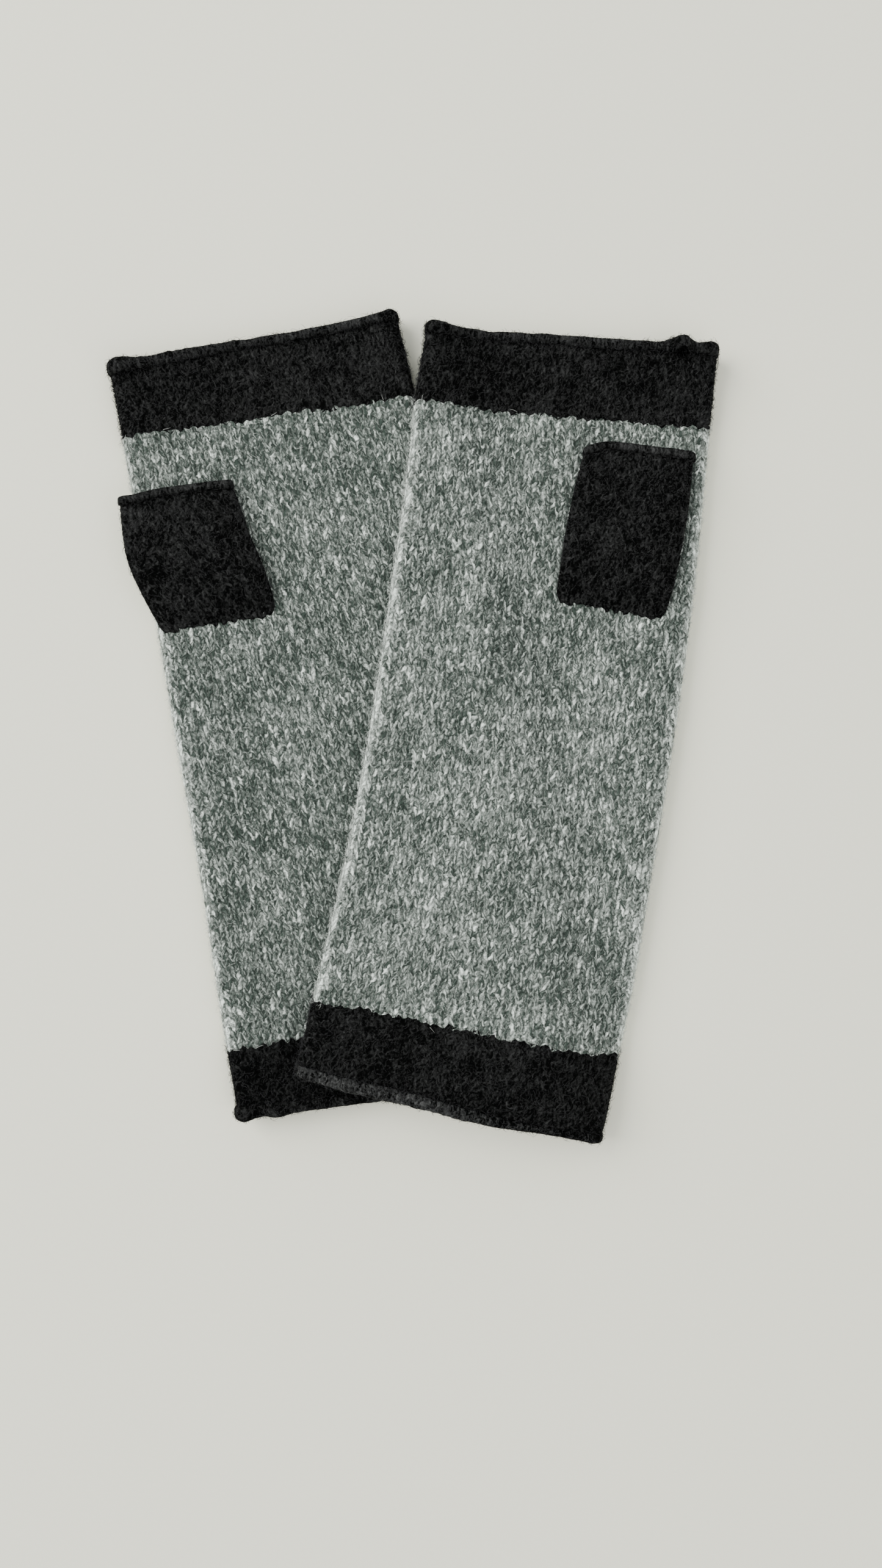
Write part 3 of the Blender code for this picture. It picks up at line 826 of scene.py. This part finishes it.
def marl(name, middle):
    return knit_material(name, (0.040, 0.055, 0.046), (0.90, 0.98, 0.90), ply=0.10, spread=0.33,
                         streaks=1.0, middle=middle, fleck=1.10, curve=2.1, shade_low=0.42, sheen=0.05,
                         bump=0.4, end_shade_power=1.6, heads=0.30, fold_highlight=0.55)


def charcoal(name, middle, bright, purl=False, painted_shade_ramp=None):
    return knit_material(name, (0.0014, 0.0016, 0.0015), (bright, 1.02 * bright, 1.01 * bright), ply=0.03,
                         spread=0.20, streaks=1.9, middle=middle, fleck=0.5, purl=purl, painted_shade_ramp=painted_shade_ramp)


def fibre_material(name, colour):
    s = Shader(name, specular=0.05)
    tint = s.node("TexNoise", {"Vector": s.place(), "Scale": 400.0, "Detail": 1.0})
    dark, light = tuple(0.7 * c for c in colour), tuple(min(1.15 * c, 1) for c in colour)
    s.set("Base Color", s.mix(tint, dark, light))
    return s.material


# The photo's right marl is the paler one, and the left part of its wrist roll catches the light.
# the left glove's marl is darker as a painted shade, for the shade near its wrist and beside the right
# glove
MARL = {"left": marl("marl_wool_left_painted_shade", 0.345), "right": marl("marl_wool_right", 0.400)}
CHARCOAL = charcoal("charcoal_wool", 0.14, 0.062)
CHARCOAL_INSIDE = charcoal("charcoal_wool_inside", 0.19, 0.078, purl=True)
# the left wrist cuff is darker, partly as its own darker yarn and partly as a painted shadow of the right
# glove's wrist roll
WRIST = {"left": charcoal("charcoal_wrist_left_painted_shadow", 0.08, 0.045),
         "right": charcoal("charcoal_wrist_right", 0.13, 0.056)}
WRIST_INSIDE = {"left": charcoal("charcoal_wrist_inside_left", 0.13, 0.060, purl=True),
                # its left part, to stitch 12, is painted as lit, and painted shade darkens it by 0.20 up to
                # stitch 27
                "right": charcoal("charcoal_wrist_inside_right", 0.24, 0.130, purl=True,
                                  painted_shade_ramp=(12.0, 27.0, 0.20))}
PALE_FIBRE = fibre_material("pale_fibres", (0.66, 0.69, 0.65))
DARK_FIBRE = fibre_material("dark_fibres", (0.040, 0.040, 0.042))

# ---- camera, floor and light -----------------------------------------------------------------------
IMAGE_HEIGHT = 2569                 # pixels
FOCAL_LENGTH = 1940                 # in the same pixels
FLOOR_HALF, FLOOR_DEPTH = 2.0, 0.01
FLOOR_TOP = -0.02 * MM              # just under the gloves

camera_data = bpy.data.cameras.new("camera")
camera_data.sensor_fit = "VERTICAL"
camera_data.angle = 2 * math.atan(IMAGE_HEIGHT / 2 / FOCAL_LENGTH)
camera_data.clip_start = 0.01
camera = add_object("camera", camera_data)
camera.location = (8.4 * MM, -17.1 * MM, 358 * MM)
bpy.context.scene.camera = camera

floor = add_mesh("floor", [(x, y, z) for z in (-FLOOR_DEPTH, FLOOR_TOP)
                           for y in (-FLOOR_HALF, FLOOR_HALF) for x in (-FLOOR_HALF, FLOOR_HALF)],
                 [(0, 2, 3, 1), (4, 5, 7, 6), (0, 1, 5, 4), (1, 3, 7, 5), (3, 2, 6, 7), (2, 0, 4, 6)])
paper = Shader("pale_paper", roughness=0.8)
paper_grain = paper.node("TexNoise", {"Vector": paper.place(), "Scale": 700.0, "Detail": 3.0})
paper.set("Base Color", paper.mix(paper_grain, (0.930, 0.925, 0.770), (0.960, 0.955, 0.795)))
floor.data.materials.append(paper.material)

world = bpy.data.worlds.new("studio")
world.use_nodes = True
world.node_tree.nodes["Background"].inputs[0].default_value = (0.95, 0.98, 1.0, 1)
world.node_tree.nodes["Background"].inputs[1].default_value = 0.85
bpy.context.scene.world = world


def area_light(name, place, size, power, colour):
    """A square light that faces the middle of the object."""
    data = bpy.data.lights.new(name, "AREA")
    data.shape = "RECTANGLE"
    data.size = data.size_y = size
    data.energy = power
    data.color = colour
    light = add_object(name, data)
    light.location = place
    light.rotation_euler = (-Vector(place)).to_track_quat("-Z", "Y").to_euler()


area_light("window", (-1.3, 0.6, 1.1), 1.4, 44, (1.0, 0.99, 0.96))
area_light("fill", (0.9, -0.9, 1.4), 1.6, 14, (1.0, 0.96, 0.90))


# ---- the gloves ------------------------------------------------------------------------------------
def dress(obj, material, slot_name, body, *nodes):
    """Gives a piece its material and the body it rides on, if any, and hides the CAD nodes it replaces;
    slot_name is not used.
    """
    obj.data.materials.append(material)
    if nodes:
        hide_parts(*nodes)
    if body is not None:
        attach(obj, body)
    return obj


settled_left = let_settle(GLOVES["left"], None)
let_settle(GLOVES["right"], settled_left)

for side, glove in GLOVES.items():
    body, thumb_body, seed = side + "_glove", side + "_thumb", glove["seed"]
    hand = glove_surface(glove)
    low, high = glove["wrist_row"], glove["finger_row"]
    first, last = CUFF_EDGE, ROWS - CUFF_EDGE
    tube = knit_tube(side + "_hand", hand, STITCHES, low, high, out=CUFF_OUTSIDE, inn=HAND_INSIDE,
                     hole=glove["hole"], relief_height=RELIEF)
    dress(tube, MARL[side], "marl_knit", body, side + "_hand_tube", side + "_side_seam")
    hairs = dress(fuzz(side + "_hand_fuzz", hand, STITCHES, low - 0.5, high + 0.5, seed + 40, **HAND_FUZZ),
                  PALE_FIBRE, "marl_knit", body)

    for sign, name, c0, c1, r0, r1, outside, inside in (
            (1, "finger", high, last, last, ROWS + ROLL_ROWS, CHARCOAL, CHARCOAL_INSIDE),
            (-1, "wrist", first, low, -ROLL_ROWS, first, WRIST[side], WRIST_INSIDE[side])):
        cuff = knit_tube(f"{side}_{name}_cuff_knit", hand, STITCHES, c0, c1, out=CUFF_OUTSIDE,
                         inn=CUFF_INSIDE)
        dress(cuff, outside, "charcoal_knit", body, f"{side}_{name}_cuff")
        roll = knit_tube(f"{side}_{name}_roll_knit", hand, STITCHES, r0, r1, out=ROLL_OUTSIDE,
                         inn=ROLL_INSIDE, straight=True, relief_height=ROLL_RELIEF)
        dress(roll, inside, "charcoal_knit", body, f"{side}_{name}_edge_roll")
        hairs = dress(fuzz(f"{side}_{name}_fuzz", hand, STITCHES, c0 - 0.7, c1 + 0.7, seed + 50 + sign,
                           **CUFF_FUZZ), DARK_FIBRE, "charcoal_knit", body)
        end_hairs = dress(fuzz(f"{side}_{name}_roll_fuzz", hand, STITCHES, r0, r1, seed + 70 + sign,
                               **ROLL_FUZZ), DARK_FIBRE, "charcoal_knit", body)

    thumb, bend = thumb_surface(glove)
    thumb_tube = knit_tube(side + "_thumb_knit", thumb, THUMB_STITCHES, 0, bend + RIM_START,
                           out=THUMB_OUTSIDE, inn=CUFF_INSIDE)
    rim = knit_tube(side + "_thumb_rim_knit", thumb, THUMB_STITCHES, bend + RIM_START, bend + RIM_END,
                    out=ROLL_OUTSIDE, inn=RIM_INSIDE, straight=True, relief_height=RIM_RELIEF)
    turn, base = glove["thumb_turn"], glove["thumb_base"]
    fold_start, fold_end = ((base[0] - math.sin(turn) * y, base[1] + math.cos(turn) * y, z)
                            for y, z in (FOLD_START, FOLD_END))
    dress(thumb_tube, CHARCOAL, "charcoal_knit", None, side + "_thumb_tube", side + "_thumb_seam")
    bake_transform(thumb_tube)
    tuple(fold_start)
    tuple(fold_end)
    dress(rim, CHARCOAL_INSIDE, "charcoal_knit", thumb_body, side + "_thumb_rim_roll")
    hairs = dress(fuzz(side + "_thumb_fuzz", thumb, THUMB_STITCHES, 1, bend + 0.5, seed + 60, **THUMB_FUZZ),
                  DARK_FIBRE, "charcoal_knit", None)
    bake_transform(hairs)
    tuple(fold_start)
    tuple(fold_end)
